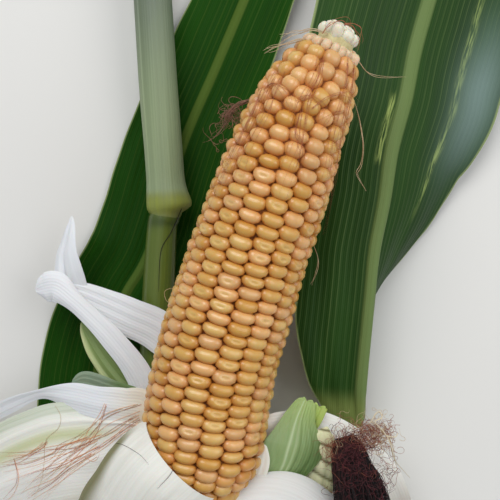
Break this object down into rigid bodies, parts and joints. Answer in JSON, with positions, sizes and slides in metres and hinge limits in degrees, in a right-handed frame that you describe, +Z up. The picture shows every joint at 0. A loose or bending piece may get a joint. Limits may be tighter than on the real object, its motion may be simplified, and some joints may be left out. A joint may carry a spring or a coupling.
{
  "type": "cut maize stalk with a peeled ear",
  "caption": "Cut length of maize stalk lying down, with its leaf and a ripe yellow ear held on its shank above peeled-back pale husks and dried silk.",
  "frame": {"origin": "middle of the bounding box's underside, on the surface that the cut stalk lies on", "axes": "+Z up, +Y along the stalk towards its upper end and the leaf's tip, +X from the stalk towards the ear's own leaf"},
  "size_m": [0.317, 0.5294, 0.0833],
  "materials": {
    "stalk": "smooth, slightly waxy green stem",
    "sheath": "matt grey-green sheath with fine lengthwise ribs",
    "kernels": "smooth, satin golden kernels",
    "cob": "matt ivory cob tip",
    "husk": "thin ivory husk with fine parallel veins",
    "green_husk": "pale green outer husk with pale veins",
    "leaf": "deep green leaf with a pale rib and fine parallel veins",
    "silk": "dry maroon-brown silk"
  },
  "bodies": {
    "root": {"stalk": "stalk", "upper_sheath": "sheath", "lower_sheath": "sheath", "ear_shank": "green_husk", "ear": "kernels", "cob_tip": "cob", "husk_front": "husk", "husk_front_right": "husk", "husk_lower_left": "husk", "husk_left": "husk", "husk_ribbon": "husk", "husk_back": "husk", "husk_right": "husk", "husk_green": "green_husk", "husk_green_small": "green_husk", "husk_outer": "green_husk", "silk_tuft": "silk", "ear_leaf_sheath": "sheath", "ear_leaf": "leaf", "back_leaf": "leaf"}
  },
  "joints": []
}
